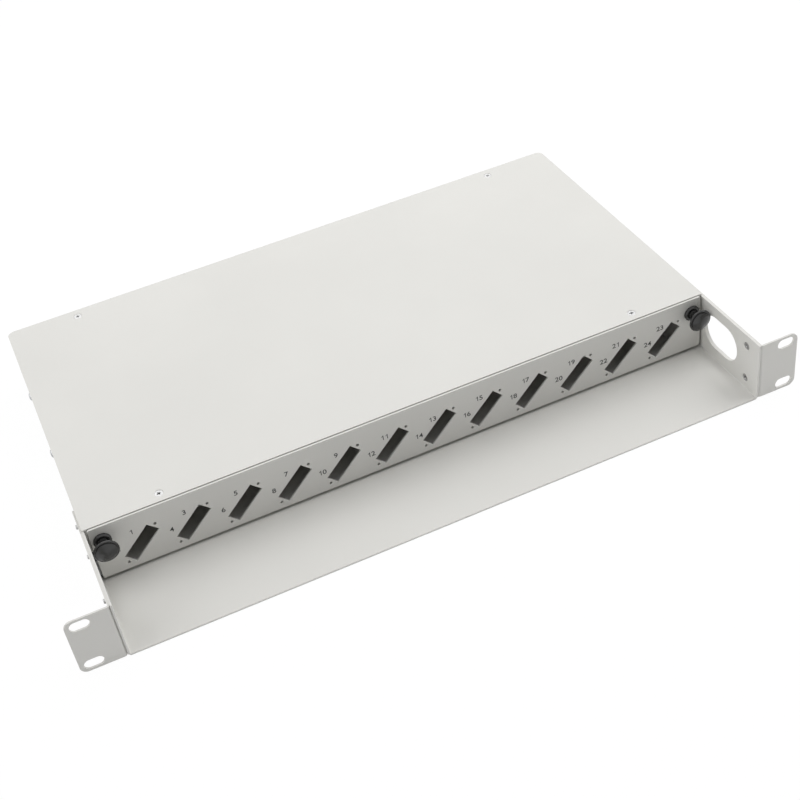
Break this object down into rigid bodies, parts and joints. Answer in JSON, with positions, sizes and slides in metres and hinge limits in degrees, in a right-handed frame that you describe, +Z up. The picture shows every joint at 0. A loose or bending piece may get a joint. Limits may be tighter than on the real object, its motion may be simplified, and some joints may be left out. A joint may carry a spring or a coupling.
{
  "type": "fibre patch panel",
  "caption": "Rack-mount fibre patch panel: grey folded steel chassis with cable tray, sliding drawer with slanted adapter cut-outs and push-pull latches.",
  "frame": {"origin": "midway between the four ear slots, on the rear faces of the ears that meet the rack posts", "axes": "+X to the right seen from the front, +Y to the rear into the rack, +Z up"},
  "size_m": [0.4826, 0.3096, 0.0444],
  "materials": {
    "grey_powder_coat": "light grey powder coat, fine texture",
    "zinc_steel": "zinc-plated steel",
    "screw_steel": "bright nickel-plated steel",
    "black_latch_plastic": "black nylon, satin",
    "gland_plastic": "black nylon",
    "seal_rubber": "black rubber",
    "cassette_plastic": "black moulded plastic",
    "lid_plastic": "frosted translucent plastic",
    "white_plastic": "white moulded plastic"
  },
  "bodies": {
    "chassis": {"base_chassis": "grey_powder_coat", "top_cover": "grey_powder_coat", "left_rack_bracket": "grey_powder_coat", "right_rack_bracket": "grey_powder_coat", "front_cross_rail": "grey_powder_coat", "left_latch_bracket": "grey_powder_coat", "right_latch_bracket": "grey_powder_coat", "left_slide_rail": "zinc_steel", "right_slide_rail": "zinc_steel", "slide_rail_rivets": "zinc_steel", "cover_screws": "screw_steel", "left_bracket_screws": "screw_steel", "right_bracket_screws": "screw_steel", "gland_bodies": "gland_plastic", "gland_locknuts": "gland_plastic", "gland_dome_nuts": "gland_plastic", "blanking_plugs": "gland_plastic", "gland_seals": "seal_rubber"},
    "drawer": {"front_panel": "grey_powder_coat", "drawer_tray": "grey_powder_coat", "left_drawer_runner": "zinc_steel", "right_drawer_runner": "zinc_steel", "runner_rivets": "zinc_steel", "left_latch_grommet": "black_latch_plastic", "right_latch_grommet": "black_latch_plastic", "splice_cassette": "cassette_plastic", "cassette_lid": "lid_plastic", "splice_holders": "white_plastic", "cassette_stud": "zinc_steel", "cassette_nut": "cassette_plastic", "fibre_clips": "white_plastic"},
    "left_plunger": {"left_latch_plunger": "black_latch_plastic"},
    "right_plunger": {"right_latch_plunger": "black_latch_plastic"}
  },
  "joints": [
    {"name": "drawer_slide", "type": "slide", "parent": "chassis", "child": "drawer", "axis": [0, -1, 0], "range_m": [0, 0.15]},
    {"name": "left_latch_pull", "type": "slide", "parent": "drawer", "child": "left_plunger", "axis": [0, -1, 0], "range_m": [0, 0.006]},
    {"name": "right_latch_pull", "type": "slide", "parent": "drawer", "child": "right_plunger", "axis": [0, -1, 0], "range_m": [0, 0.006]}
  ]
}
